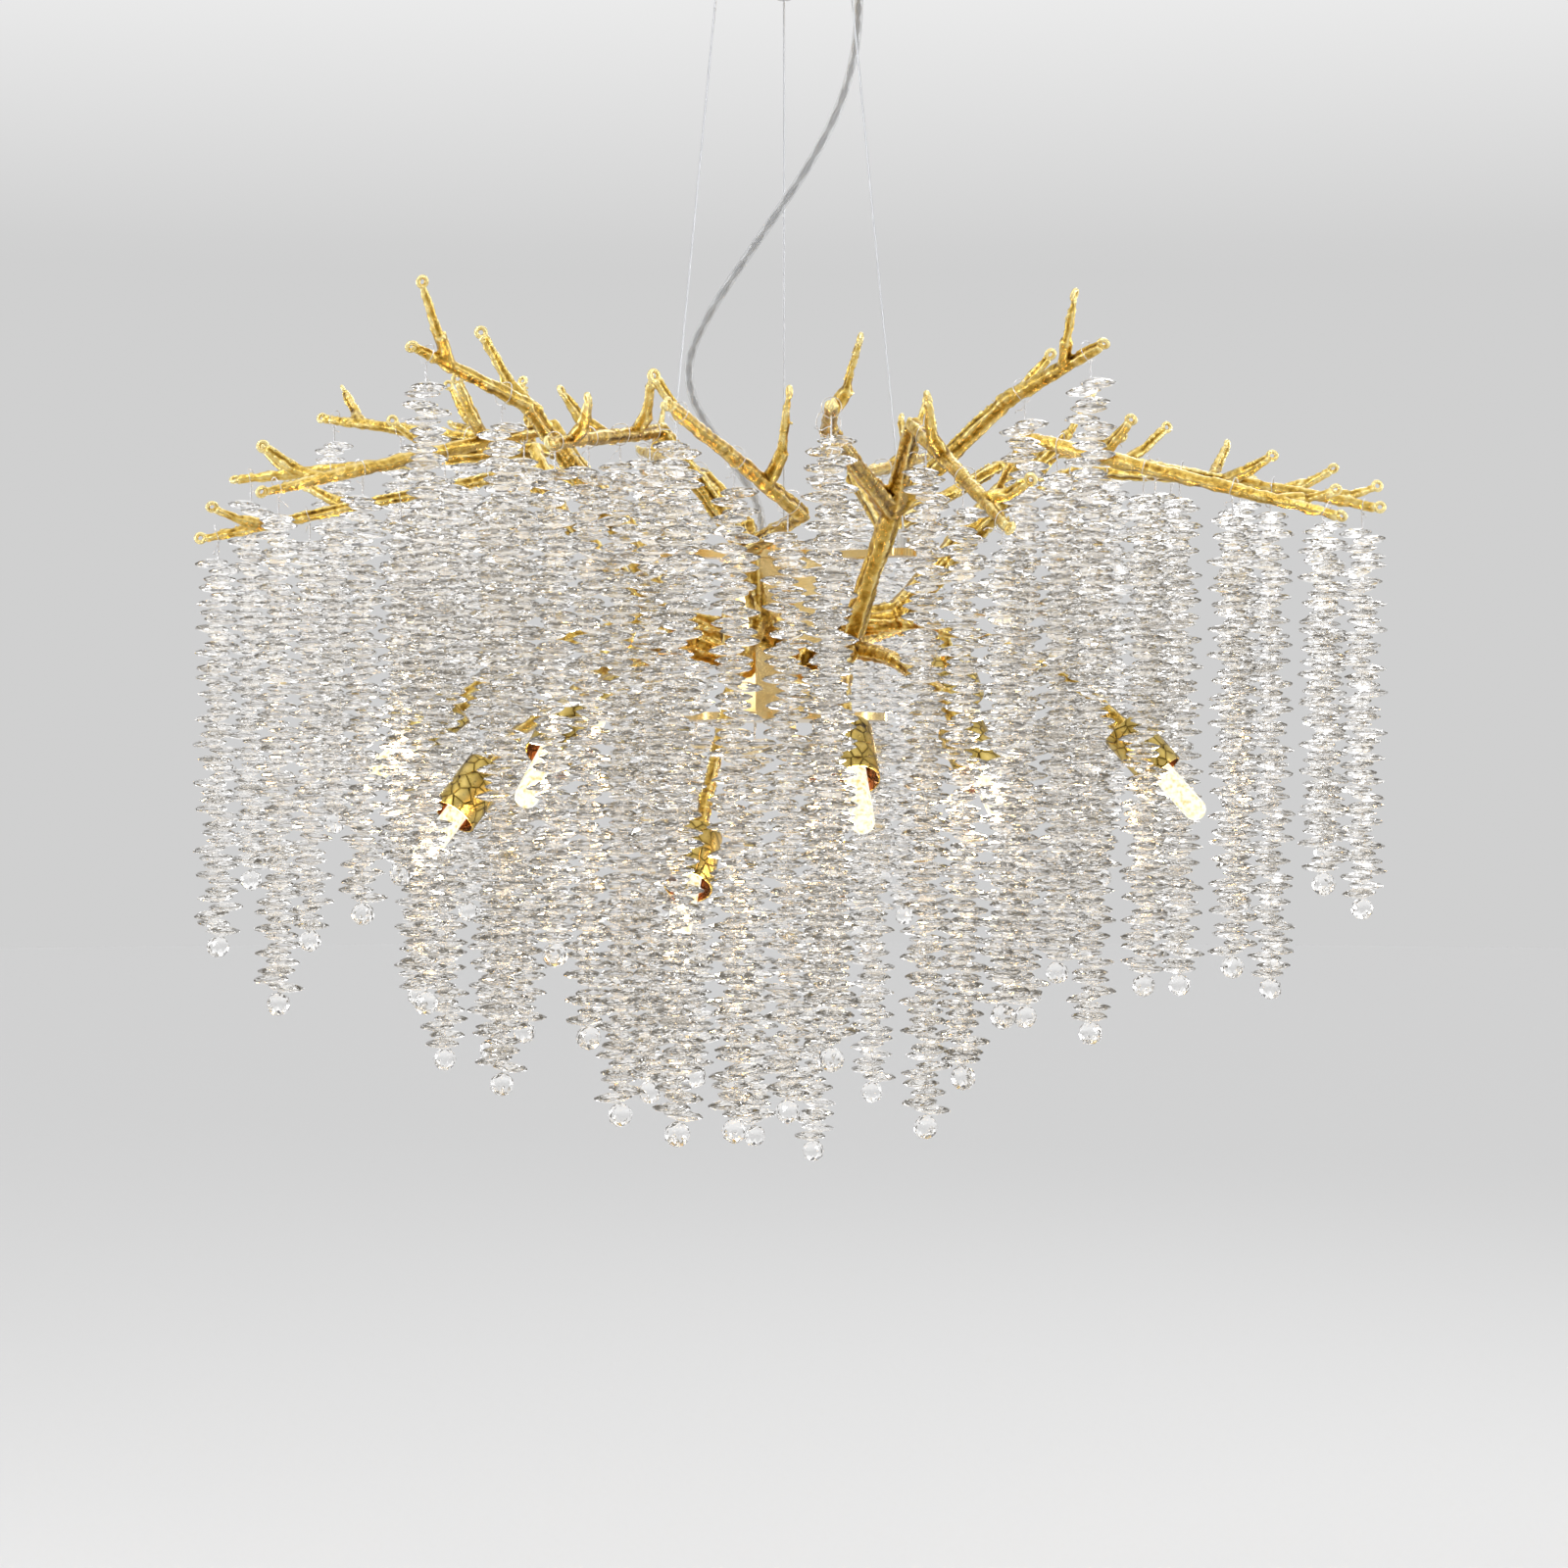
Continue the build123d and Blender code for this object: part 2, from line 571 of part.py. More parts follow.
def power_cord():
    """The clear flexible cord, hanging in its own curve between its two grips."""
    start = Vector(*CORD_GRIP_AT, -CANOPY_H - CORD_GRIP_L)
    end = Vector(*GLAND_AT, PLATE_TOP + GLAND_L)
    points = [start] + [Vector(x, y, HUB_Z + z) for x, y, z in CORD_WAY] + [end]
    radii = []
    for before, corner, after in zip(points, points[1:], points[2:]):
        one, two = corner - before, after - corner
        half_turn = math.radians(one.get_angle(two)) / 2
        radii.append(0.45 * min(one.length, two.length) / math.tan(half_turn))
    path = FilletPolyline(*points, radius=radii)
    section = Plane(start, z_dir=points[1] - start) * RegularPolygon(CORD_D / 2, CORD_SIDES)
    tube = sweep(section, path=path)
    print("cord radii", [round(r) for r in radii], "length", round(path.length, 1))
    print("cord volume over section by length", round(tube.volume / (section.area * path.length), 4))
    return tube


def write(name, shape):
    """Writes one sub-part's STEP file."""
    export_step(shape, os.path.join("parts", name + ".step"))


os.makedirs("parts", exist_ok=True)
write("canopy", canopy())
write("ceiling_bracket", ceiling_bracket())
write("canopy_screws", canopy_screws())
write("cable_grips", cable_grips())
write("cord_grip", cord_grip())
for side, cable_azimuth in zip(("back", "left", "right"), CABLE_AZIMUTHS):
    write("cable_" + side, cable(cable_azimuth))
write("power_cord", power_cord())
write("hub_core", hub_core())
write("hub_top_plate", hub_top_plate())
write("hub_bottom_plate", hub_bottom_plate())
write("hub_rod", hub_rod())
write("hub_gland", hub_gland())
write("cable_stops", cable_stops())
for branch_name in BRANCHES:
    write(branch_name, branch(branch_name))
for row_name in ROWS:
    write("strand_" + row_name, strand_row(row_name))
write("strand_row_centre", centre_row())
for cup_key in CUPS_APART:
    write("lamp_cup_" + cup_key, lamp_cup(cup_key))
write("lamp_cups", Compound(children=[lamp_cup(key) for key in LAMPS if key not in CUPS_APART]))
write("lamp_sockets", Compound(children=[lamp_socket(key) for key in LAMPS]))
for lamp_key in LAMPS:
    write("bulb_" + lamp_key, bulb(lamp_key))
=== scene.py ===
import json
import math
import random

import bmesh
import bpy
from mathutils import Matrix, Vector


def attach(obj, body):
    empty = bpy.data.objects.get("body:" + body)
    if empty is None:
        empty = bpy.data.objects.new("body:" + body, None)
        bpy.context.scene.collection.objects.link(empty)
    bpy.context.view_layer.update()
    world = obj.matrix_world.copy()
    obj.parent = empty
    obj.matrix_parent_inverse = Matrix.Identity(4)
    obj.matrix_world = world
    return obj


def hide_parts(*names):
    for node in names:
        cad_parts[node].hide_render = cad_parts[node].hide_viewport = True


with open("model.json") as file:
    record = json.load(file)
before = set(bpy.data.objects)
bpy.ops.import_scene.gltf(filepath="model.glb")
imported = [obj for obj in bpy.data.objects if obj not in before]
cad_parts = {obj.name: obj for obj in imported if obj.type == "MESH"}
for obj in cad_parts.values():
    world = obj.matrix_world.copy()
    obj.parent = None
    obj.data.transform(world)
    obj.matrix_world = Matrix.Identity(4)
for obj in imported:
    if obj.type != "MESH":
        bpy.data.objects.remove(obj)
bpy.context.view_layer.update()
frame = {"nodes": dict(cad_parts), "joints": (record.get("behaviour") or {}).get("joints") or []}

bpy.ops.object.select_all(action="DESELECT")
scene = bpy.context.scene

# ---- View of the light ----
# A level lens 2.2 m in front of the hub and a little below it, as someone sees the light from
# across a table.
VIEW_PLACE = (0, -2.2, -0.605)
VIEW_LENS = 74.1
FILM_WIDTH = 36
bpy.ops.object.camera_add(location=VIEW_PLACE, rotation=(math.pi / 2, 0, 0))
camera = bpy.context.object
camera.data.lens = VIEW_LENS
camera.data.sensor_width = FILM_WIDTH
scene.camera = camera


# ---- Power cord ----
# Clear flexible flex with two silvery tinned cores twisted inside it. It hangs in its own
# S curve from the strain relief under the canopy down to the gland on the hub, and carries
# no weight.
class Socket:
    """A shader socket that adds Math nodes when it is used in an expression."""

    def __init__(self, nodes, socket):
        self.nodes = nodes
        self.socket = socket

    def _math(self, operation, *values):
        return self.nodes.node("ShaderNodeMath", {"operation": operation}, *values)

    def __add__(self, other):
        return self._math("ADD", self, other)

    def __sub__(self, other):
        return self._math("SUBTRACT", self, other)

    def __rsub__(self, other):
        return self._math("SUBTRACT", other, self)

    def __mul__(self, other):
        return self._math("MULTIPLY", self, other)

    __radd__ = __add__
    __rmul__ = __mul__


class Nodes:
    """A node tree whose last node is already there, and the nodes that feed it."""

    def __init__(self, tree, last):
        self.tree = tree
        self.last = tree.nodes[last]

    def node(self, kind, settings, *values, out=0, **named):
        """Adds a node: first its settings, then its inputs by place or by name."""
        node = self.tree.nodes.new(kind)
        for key, value in settings.items():
            if key == "stops":
                ramp = node.color_ramp
                while len(ramp.elements) < len(value):
                    ramp.elements.new(0.5)
                for element, (place, colour) in zip(ramp.elements, value):
                    element.position = place
                    element.color = colour
            else:
                setattr(node, key, value)
        inputs = list(enumerate(values))
        inputs += [(key.replace("_", " "), value) for key, value in named.items()]
        for key, value in inputs:
            self.feed(node.inputs[key], value)
        return Socket(self, node.outputs[out])

    def feed(self, socket, value):
        if isinstance(value, Socket):
            self.tree.links.new(value.socket, socket)
        else:
            socket.default_value = value

    def set(self, **inputs):
        for key, value in inputs.items():
            self.feed(self.last.inputs[key.replace("_", " ")], value)

    def ramp(self, value, *stops):
        return self.node("ShaderNodeValToRGB", {"stops": stops}, value)

    def blend(self, factor, one, other):
        """One colour that goes over to another."""
        mix = self.node("ShaderNodeMix", {"data_type": "RGBA"}, factor, out=2)
        self.feed(mix.socket.node.inputs[6], one)
        self.feed(mix.socket.node.inputs[7], other)
        return mix


class Paint(Nodes):
    """A material with one Principled shader."""

    def __init__(self, name, **settings):
        self.material = bpy.data.materials.new(name)
        self.material.use_nodes = True
        super().__init__(self.material.node_tree, "Principled BSDF")
        self.set(**settings)

    def place(self):
        return self.node("ShaderNodeTexCoord", {}, out="Object")

    def noise(self, scale, detail=3.0, roughness=0.5):
        return self.node("ShaderNodeTexNoise", {}, Vector=self.place(), Scale=scale,
                         Detail=detail, Roughness=roughness)

    def bump(self, height, distance, strength=1.0):
        relief = self.node("ShaderNodeBump", {}, Height=height, Distance=distance,
                           Strength=strength)
        self.set(Normal=relief)


def dress(piece, paint):
    """Gives a piece its material."""
    piece.data.materials.clear()
    piece.data.materials.append(paint.material)


CORD_ROUTE = [
    (0.0515, 0.0100, -0.0530), (0.0515, 0.0100, -0.0750), (0.0490, 0.0090, -0.1040),
    (0.0395, 0.0060, -0.1400), (0.0195, 0.0015, -0.1795), (-0.0045, -0.0030, -0.2160),
    (-0.0300, -0.0035, -0.2525), (-0.0530, 0.0000, -0.2870), (-0.0655, 0.0040, -0.3140),
    (-0.0645, 0.0070, -0.3370), (-0.0545, 0.0090, -0.3570), (-0.0370, 0.0100, -0.3820),
    (-0.0203, 0.0103, -0.4067), (-0.0150, 0.0100, -0.4240), (-0.0150, 0.0100, -0.4380),
]
CORD_DIAMETER = 0.0065
CORE_RADIUS = 0.00115
CORE_OFFSET = 0.00125  # from the cord's axis to a core's
CORE_TURNS = 15
TIN_TONES = ((0.1, (0.40, 0.40, 0.41, 1)), (0.9, (0.80, 0.80, 0.81, 1)))


def route_curve(name, route, turns=0.0, steps=12):
    """A smooth curve whose control points are a cord's route."""
    curve = bpy.data.curves.new(name, "CURVE")
    curve.dimensions = "3D"
    spline = curve.splines.new("NURBS")
    spline.points.add(len(route) - 1)
    for i, (point, place) in enumerate(zip(spline.points, route)):
        point.co = (*place, 1)
        point.tilt = 2 * math.pi * turns * i / (len(route) - 1)
    spline.order_u = 3
    spline.use_endpoint_u = True
    curve.resolution_u = steps
    piece = bpy.data.objects.new(name, curve)
    scene.collection.objects.link(piece)
    return piece


def swept(name, spine, outlines):
    """A mesh of closed outlines, drawn flat, that run and twist along a curve."""
    profile_curve = bpy.data.curves.new(name + "_outline", "CURVE")
    profile_curve.dimensions = "2D"
    for outline in outlines:
        spline = profile_curve.splines.new("POLY")
        spline.points.add(len(outline) - 1)
        for point, (x, y) in zip(spline.points, outline):
            point.co = (x, y, 0, 1)
        spline.use_cyclic_u = True
    profile = bpy.data.objects.new(name + "_outline", profile_curve)
    scene.collection.objects.link(profile)
    spine.data.bevel_mode = "OBJECT"
    spine.data.bevel_object = profile
    spine.data.use_fill_caps = True
    bpy.context.view_layer.update()
    depsgraph = bpy.context.evaluated_depsgraph_get()
    mesh = bpy.data.meshes.new_from_object(spine.evaluated_get(depsgraph))
    for gone in (spine, profile):
        bpy.data.objects.remove(gone)
    mesh.name = name
    piece = bpy.data.objects.new(name, mesh)
    scene.collection.objects.link(piece)
    mesh.shade_smooth()
    return piece


def core_outline(x, sides=10):
    """The round outline of a core whose axis lies at x."""
    angles = [2 * math.pi * i / sides for i in range(sides)]
    return [(x + CORE_RADIUS * math.cos(a), CORE_RADIUS * math.sin(a)) for a in angles]


sheath = route_curve("power_cord_sheath", CORD_ROUTE)
sheath.data.bevel_depth = CORD_DIAMETER / 2
sheath.data.bevel_resolution = 6
sheath.data.use_fill_caps = True
cores = swept("power_cord_cores", route_curve("cores_line", CORD_ROUTE, CORE_TURNS, steps=20),
              [core_outline(-CORE_OFFSET), core_outline(CORE_OFFSET)])

clear_sheath = Paint("clear_pvc_sheath", Base_Color=(0.66, 0.68, 0.70, 1), Roughness=0.08,
                     IOR=1.5, Alpha=0.32, Coat_Weight=1.0)
clear_sheath.bump(clear_sheath.noise(260), 0.0002, 0.3)
tinned = Paint("tinned_copper_braid", Metallic=0.9)
braid = tinned.node("ShaderNodeTexWave", {"bands_direction": "Z", "wave_profile": "SIN"},
                    Vector=tinned.place(), Scale=480.0, Distortion=2.5, out="Fac")
tinned.set(Base_Color=tinned.ramp(braid, *TIN_TONES), Roughness=braid * 0.12 + 0.22)
tinned.bump(braid, 0.0003)
dress(sheath, clear_sheath)
dress(cores, tinned)
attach(sheath, "frame")
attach(cores, "frame")
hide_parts("power_cord")


# ---- Suspension cables ----
# Three twisted stainless steel cables, 1.5 mm thick, drawn straight by the light's weight
# between the grips under the canopy and the crimped stops on the hub's arms.
CABLE_WIRE = 0.00075
CABLE_PITCH = 0.0085  # of one turn of the twist
OUTER_WIRES = 6
FURROW_SHARE = 0.2  # of the cable's radius
LOBE_POINTS = 24
SAME_LEVEL = 1e-5


def unique_points(mesh):
    """A CAD mesh's corners, each once."""
    corners = {tuple(round(c, 6) for c in v.co) for v in mesh.vertices}
    return [Vector(corner) for corner in sorted(corners)]


def end_centres(points):
    """The middles of the highest and of the lowest corners."""
    high = max(p.z for p in points)
    low = min(p.z for p in points)
    ends = []
    for level in (high, low):
        ring = [p for p in points if abs(p.z - level) < SAME_LEVEL]
        ends.append(sum(ring, Vector()) / len(ring))
    return ends


lobes = []
for i in range(LOBE_POINTS):
    angle = 2 * math.pi * i / LOBE_POINTS
    furrow = abs(math.sin(OUTER_WIRES / 2 * angle))
    reach = CABLE_WIRE * (1 - FURROW_SHARE + FURROW_SHARE * furrow)
    lobes.append((reach * math.cos(angle), reach * math.sin(angle)))

steel = Paint("twisted_steel", Base_Color=(0.62, 0.63, 0.65, 1), Metallic=1.0)
steel.set(Roughness=steel.noise(900) * 0.2 + 0.2)
for side in ("back", "left", "right"):
    cable_top, cable_foot = end_centres(unique_points(frame["nodes"]["cable_" + side].data))
    turns = (cable_top - cable_foot).length / CABLE_PITCH
    line = route_curve("line", [cable_foot, cable_foot.lerp(cable_top, 0.5), cable_top],
                       turns, round(turns * 4))
    cable = swept("cable_%s_wire" % side, line, [lobes])
    dress(cable, steel)
    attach(cable, "frame")
    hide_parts("cable_" + side)
    (cable_top - cable_foot).length


# ---- Cast branches ----
# Nine bronze castings, bark-textured and gold plated, brazed on the hub's flats. Each forks
# into tines that end in round eyelets, with bare prongs between them and arms that carry the
# lamp cups.
EYELET_RADIUS = 0.0029
EYELET_THICKNESS = 0.00145
EYELET_SINK = 0.0002
EYELET_LEAN = 0.9
LIMB_SIDES = 5
TIP_LARGEST = 0.0041  # the largest radius of a limb's flat end
FLANK_SHORTEST = 0.014  # a limb's side that is shorter or narrower gets no furrow
FLANK_NARROWEST = 0.0033
FLANK_EDGE_LIMIT = 8
SAME_PLACE = 1e-6
GROOVE_EDGE = 0.0011
GROOVE_DEPTH = 0.0016
VOXEL = 0.0011  # the grain at which a casting is melted into one
LUMP_SIZE = 0.011
LUMP_HEIGHT = 0.0030
LUMP_LEVEL = 0.30  # the tone of the lumps' pattern at which the surface stays
# the tones run from painted shade for the hollows, through the gold, up to a painted highlight
# for the ridges
BARK_GRAIN_SHADE_AND_HIGHLIGHT_TONES = (
    (0.22, (0.08, 0.032, 0.004, 1)), (0.45, (0.40, 0.23, 0.034, 1)),
    (0.62, (0.74, 0.51, 0.12, 1)), (0.90, (1.0, 0.84, 0.40, 1)),
)


def edit(piece):
    """Opens a piece in edit mode."""
    bpy.ops.object.select_all(action="DESELECT")
    piece.select_set(True)
    bpy.context.view_layer.objects.active = piece
    bpy.ops.object.mode_set(mode="EDIT")
    bpy.ops.mesh.select_mode(type="VERT")


def leave_edit():
    bpy.ops.object.mode_set(mode="OBJECT")
    bpy.ops.object.select_all(action="DESELECT")


def apply_modifiers(piece):
    bpy.ops.object.select_all(action="DESELECT")
    piece.select_set(True)
    bpy.context.view_layer.objects.active = piece
    for modifier in list(piece.modifiers):
        bpy.ops.object.modifier_apply(modifier=modifier.name)
    piece.select_set(False)


def join(name, parts):
    """Joins pieces into the first of them and renames it."""
    bpy.ops.object.select_all(action="DESELECT")
    for part in parts:
        part.select_set(True)
    bpy.context.view_layer.objects.active = parts[0]
    bpy.ops.object.join()
    parts[0].name = name
    parts[0].data.name = name
    parts[0].select_set(False)
    return parts[0]


def merged_copy(node, name):
    """A copy of a CAD node's mesh with its loose corners merged."""
    piece = bpy.data.objects.new(name, frame["nodes"][node].data.copy())
    scene.collection.objects.link(piece)
    edit(piece)
    bpy.ops.mesh.select_all(action="SELECT")
    bpy.ops.mesh.remove_doubles(threshold=SAME_PLACE)
    leave_edit()
    return piece


def limb_tips(mesh):
    """The middle and direction of each small flat end of a branch's limbs."""
    tips = []
    for face in mesh.polygons:
        corners = [mesh.vertices[i].co for i in face.vertices]
        reach = [(corner - face.center).length for corner in corners]
        even = max(reach) - min(reach) < 1e-4
        if len(reach) == LIMB_SIDES and max(reach) < TIP_LARGEST and even:
            tips.append((face.center.copy(), face.normal.copy()))
    return tips


def eyelet(middle, way, lean):
    """A round eyelet at a tip, its hole level and square to the limb, leaning a little."""
    across = Vector((0, 0, 1)).cross(way).normalized()
    across = Matrix.Rotation(lean, 3, way) @ across
    turn = Vector((0, 0, 1)).rotation_difference(across).to_euler()
    bpy.ops.mesh.primitive_torus_add(
        major_radius=EYELET_RADIUS, minor_radius=EYELET_THICKNESS,
        major_segments=16, minor_segments=8,
        location=middle + way * (EYELET_RADIUS - EYELET_SINK), rotation=turn,
    )
    ring = bpy.context.object
    bpy.ops.object.transform_apply(location=True, rotation=True, scale=True)
    return ring


gold = Paint("cast_gold_bark", Metallic=1.0)
grain = gold.noise(130, 6, 0.6)
pits = gold.noise(560, 4, 0.6)
# painted shade in the hollows and a painted highlight on the ridges, from the mesh's pointiness,
# with the grain's own tone over them
ridges_and_hollows = gold.node("ShaderNodeNewGeometry", {}, out="Pointiness")
painted_shade_and_highlight = (ridges_and_hollows - 0.5) * 6.0 + 0.5 + (grain - 0.5) * 0.7
gold.set(Base_Color=gold.ramp(painted_shade_and_highlight, *BARK_GRAIN_SHADE_AND_HIGHLIGHT_TONES), Roughness=grain * 0.25 + 0.08)
gold.bump(grain * 0.7 + pits * 0.3, 0.0014, 0.9)

bark_lumps = bpy.data.textures.new("bark_lumps", "CLOUDS")
bark_lumps.noise_scale = LUMP_SIZE
bark_lumps.noise_depth = 2
dice = random.Random(11)
for node in sorted(n for n in frame["nodes"] if n.startswith("branch_")):
    cast = merged_copy(node, node + "_cast")
    edit(cast)
    bpy.ops.mesh.select_all(action="SELECT")
    bpy.ops.mesh.dissolve_limited(angle_limit=math.radians(0.5))
    leave_edit()
    rings = [eyelet(middle, way, dice.uniform(-EYELET_LEAN, EYELET_LEAN))
             for middle, way in limb_tips(cast.data)]
    # each side of a limb is sunk between its edges, as the furrows of bark
    edit(cast)
    bpy.ops.mesh.select_mode(type="FACE")
    shape = bmesh.from_edit_mesh(cast.data)
    for face in shape.faces:
        longest = max(edge.calc_length() for edge in face.edges)
        face.select_set(longest > FLANK_SHORTEST and len(face.edges) < FLANK_EDGE_LIMIT
                        and face.calc_area() > FLANK_NARROWEST * longest)
    bmesh.update_edit_mesh(cast.data)
    bpy.ops.mesh.inset(thickness=GROOVE_EDGE, depth=-GROOVE_DEPTH, use_individual=True)
    leave_edit()
    # then all is melted into one casting, softened, and given bark's uneven thickness
    melt = cast.modifiers.new("melt", "REMESH")
    melt.mode = "VOXEL"
    melt.voxel_size = VOXEL * 1
    soften = cast.modifiers.new("soften", "SMOOTH")
    soften.factor = 0.5
    soften.iterations = 4
    lumps = cast.modifiers.new("lumps", "DISPLACE")
    lumps.texture = bark_lumps
    lumps.texture_coords = "LOCAL"
    lumps.strength = LUMP_HEIGHT
    lumps.mid_level = LUMP_LEVEL
    apply_modifiers(cast)
    cast = join(node + "_cast", [cast] + rings)
    cast.data.shade_smooth()
    dress(cast, gold)
    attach(cast, "frame")
    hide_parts(node)


# ---- Lamp cups ----
# Ten spun brass cups with thin walls, a bright turned rim and a leaf-vein relief, gold plated.
# Each stands brazed on the end of its arm, mouth outwards and down.
BULB_TIP = 0.0793  # from a cup's foot to the end of its bulb
CUP_RADIUS = 0.015
CUP_HEIGHT = 0.040
CUP_WALL = 0.0012
CUP_FLOOR = 0.003
CUP_EDGE = 0.0004
VEIN_TONES = (
    (0.005, (0.06, 0.03, 0.006, 1)), (0.035, (0.42, 0.29, 0.065, 1)),
    (0.12, (0.62, 0.46, 0.13, 1)), (0.45, (0.80, 0.62, 0.22, 1)),
)
VEIN_RELIEF = ((0.0, (0, 0, 0, 1)), (0.05, (1, 1, 1, 1)))
# almost black: painted shade for the inside of a cup
INSIDE_PAINTED_SHADE = (0.009, 0.003, 0.001, 1)


def lamp_frames():
    """For each bulb, the matrix that carries a lamp drawn upright at the origin to its place."""
    places = {}
    for joint in frame["joints"]:
        body = joint["child"]
        if not body.startswith("bulb_"):
            continue
        way = Vector(joint["axis"]).normalized()
        points = unique_points(frame["nodes"][body].data)
        middle = sum(points, Vector()) / len(points)
        far = max(p.dot(way) for p in points)
        foot = middle + way * (far - middle.dot(way) - BULB_TIP)
        across = Vector((0, 0, 1)).cross(way).normalized()
        up = way.cross(across)
        turn = Matrix((across, up, way)).transposed().to_4x4()
        places[body] = Matrix.Translation(foot) @ turn
    return places


def placed_copies(model, name, places):
    """Copies of a model carried to their places and joined, and the model removed."""
    copies = []
    for place in places:
        mesh = model.data.copy()
        mesh.transform(place)
        piece = bpy.data.objects.new(name, mesh)
        scene.collection.objects.link(piece)
        copies.append(piece)
    bpy.data.objects.remove(model)
    return join(name, copies)


lamp_places = lamp_frames()
bpy.ops.mesh.primitive_cylinder_add(vertices=64, radius=CUP_RADIUS, depth=CUP_HEIGHT,
                                    location=(0, 0, CUP_HEIGHT / 2))
cup = bpy.context.object
bpy.ops.object.transform_apply(location=True)
edit(cup)
bpy.ops.mesh.select_mode(type="FACE")
shape = bmesh.from_edit_mesh(cup.data)
for face in shape.faces:
    face.select_set(face.normal.z > 0.9)
bmesh.update_edit_mesh(cup.data)
bpy.ops.mesh.inset(thickness=CUP_WALL)
bpy.ops.mesh.extrude_region_move(
    TRANSFORM_OT_translate={"value": (0, 0, CUP_FLOOR - CUP_HEIGHT)})
# the turned edges are all the level rings
bpy.ops.mesh.select_mode(type="EDGE")
shape = bmesh.from_edit_mesh(cup.data)
for edge in shape.edges:
    one, other = (v.co for v in edge.verts)
    level = abs(one.z - other.z) < SAME_PLACE
    edge.select_set(level and abs(one.xy.length - other.xy.length) < SAME_PLACE)
bmesh.update_edit_mesh(cup.data)
bpy.ops.mesh.bevel(offset=CUP_EDGE, segments=2)
leave_edit()
cup.data.shade_smooth()
# the inner wall is marked for the painted shade inside the cup
shaded_inside = cup.data.attributes.new("inner_wall", "FLOAT", "POINT")
for vertex in cup.data.vertices:
    inside = vertex.co.xy.length < CUP_RADIUS - 0.9 * CUP_WALL and vertex.co.z > CUP_FLOOR / 2
    shaded_inside.data[vertex.index].value = 1.0 if inside else 0.0
cups = placed_copies(cup, "lamp_cups_spun", lamp_places.values())

veined = Paint("veined_gold", Metallic=1.0)
veins = veined.node("ShaderNodeTexVoronoi", {"feature": "DISTANCE_TO_EDGE"},
                    Vector=veined.place(), Scale=125.0, out="Distance")
fine = veined.noise(500, 4)
outside = veined.ramp(veins + (fine - 0.5) * 0.05, *VEIN_TONES)
# inside the cup the veined gold gives way to painted shade
in_cup_shade = veined.node("ShaderNodeAttribute", {"attribute_name": "inner_wall"}, out="Fac")
veined.set(Base_Color=veined.blend(in_cup_shade, outside, INSIDE_PAINTED_SHADE), Roughness=fine * 0.25 + 0.18)
veined.bump(veined.ramp(veins, *VEIN_RELIEF) + fine * 0.5, 0.0006)
dress(cups, veined)
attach(cups, "frame")
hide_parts(*[n for n in frame["nodes"] if n.startswith("lamp_cup")])


# ---- Capsule bulbs ----
# Clear glass capsules with a pressed flat base, lit warm white by a column of small lights
# inside. The base is pushed into the slot of the socket in its cup.
BULB_START = 0.0233  # where the glass begins, just above the socket
BULB_RADIUS = 0.0074
BASE_SIZE = (0.0126, 0.0046, 0.015)
BASE_LEVEL = BULB_START - 0.004
BASE_EDGE = 0.0008
LIT_TONES = (
    (0.32, (1.0, 0.70, 0.25, 1)), (0.42, (1.0, 0.92, 0.62, 1)), (0.55, (1.0, 1.0, 0.90, 1)),
)
SHED_LIGHT = (90, 60, 30, 1)  # what a bulb sends on its surroundings


def select_where(test):
    """In edit mode, selects the vertices that pass a test."""
    shape = bmesh.from_edit_mesh(bpy.context.object.data)
    for face in shape.faces:
        face.select_set(False)
    for vertex in shape.verts:
        vertex.select_set(test(vertex.co))
    shape.select_flush(True)
    bmesh.update_edit_mesh(bpy.context.object.data)


lit = Paint("lit_capsule", Base_Color=(0.10, 0.08, 0.05, 1), Roughness=0.1, Emission_Strength=1.0)
seen = lit.ramp(lit.noise(330, 2), *LIT_TONES)
directly = lit.node("ShaderNodeLightPath", {}, out="Is Camera Ray")
lit.set(Emission_Color=lit.blend(directly, SHED_LIGHT, seen))
for body, place in lamp_places.items():
    bpy.ops.mesh.primitive_uv_sphere_add(segments=24, ring_count=16, radius=BULB_RADIUS,
                                         location=(0, 0, BULB_TIP - BULB_RADIUS))
    glass = bpy.context.object
    bpy.ops.object.transform_apply(location=True)
    edit(glass)
    select_where(lambda co: co.z < BULB_TIP - BULB_RADIUS - SAME_LEVEL)
    bpy.ops.transform.translate(value=(0, 0, BULB_START + 2 * BULB_RADIUS - BULB_TIP))
    leave_edit()
    bpy.ops.mesh.primitive_cube_add(size=1, location=(0, 0, BASE_LEVEL))
    base = bpy.context.object
    edit(base)
    bpy.ops.mesh.select_all(action="SELECT")
    bpy.ops.transform.resize(value=BASE_SIZE, center_override=(0, 0, BASE_LEVEL))
    bpy.ops.mesh.bevel(offset=BASE_EDGE, segments=2)
    leave_edit()
    base.select_set(True)
    bpy.ops.object.transform_apply(location=True)
    capsule = join(body + "_glass", [glass, base])
    capsule.data.transform(place)
    capsule.data.shade_smooth()
    dress(capsule, lit)
    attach(capsule, body)
    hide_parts(body)


# ---- Crystal strands ----
# Clear pressed glass lenses, threaded off-centre on a thin silver wire in pairs that lean to
# opposite sides, with a faceted ball at the foot. Each strand hangs by a wire loop round its
# tine.
DISC_RADIUS = 0.0117
DISC_HALF = 0.0031
GIRDLE_HALF = 0.0005
DISC_SIDES = 8
FACET_BANDS = (  # each band's height, how far it draws in, and if it is turned by half a facet
    (GIRDLE_HALF, 1.0, False),
    (0.45 * DISC_HALF, 0.76, True),
    (0.55 * DISC_HALF - GIRDLE_HALF, 0.40, False),
)
DISC_OFFSET = 0.0054
PAIR_PITCH = 0.0108
PAIR_GAP = 0.0049
PAIR_TURN = 0.53 * math.pi  # from one pair to the next
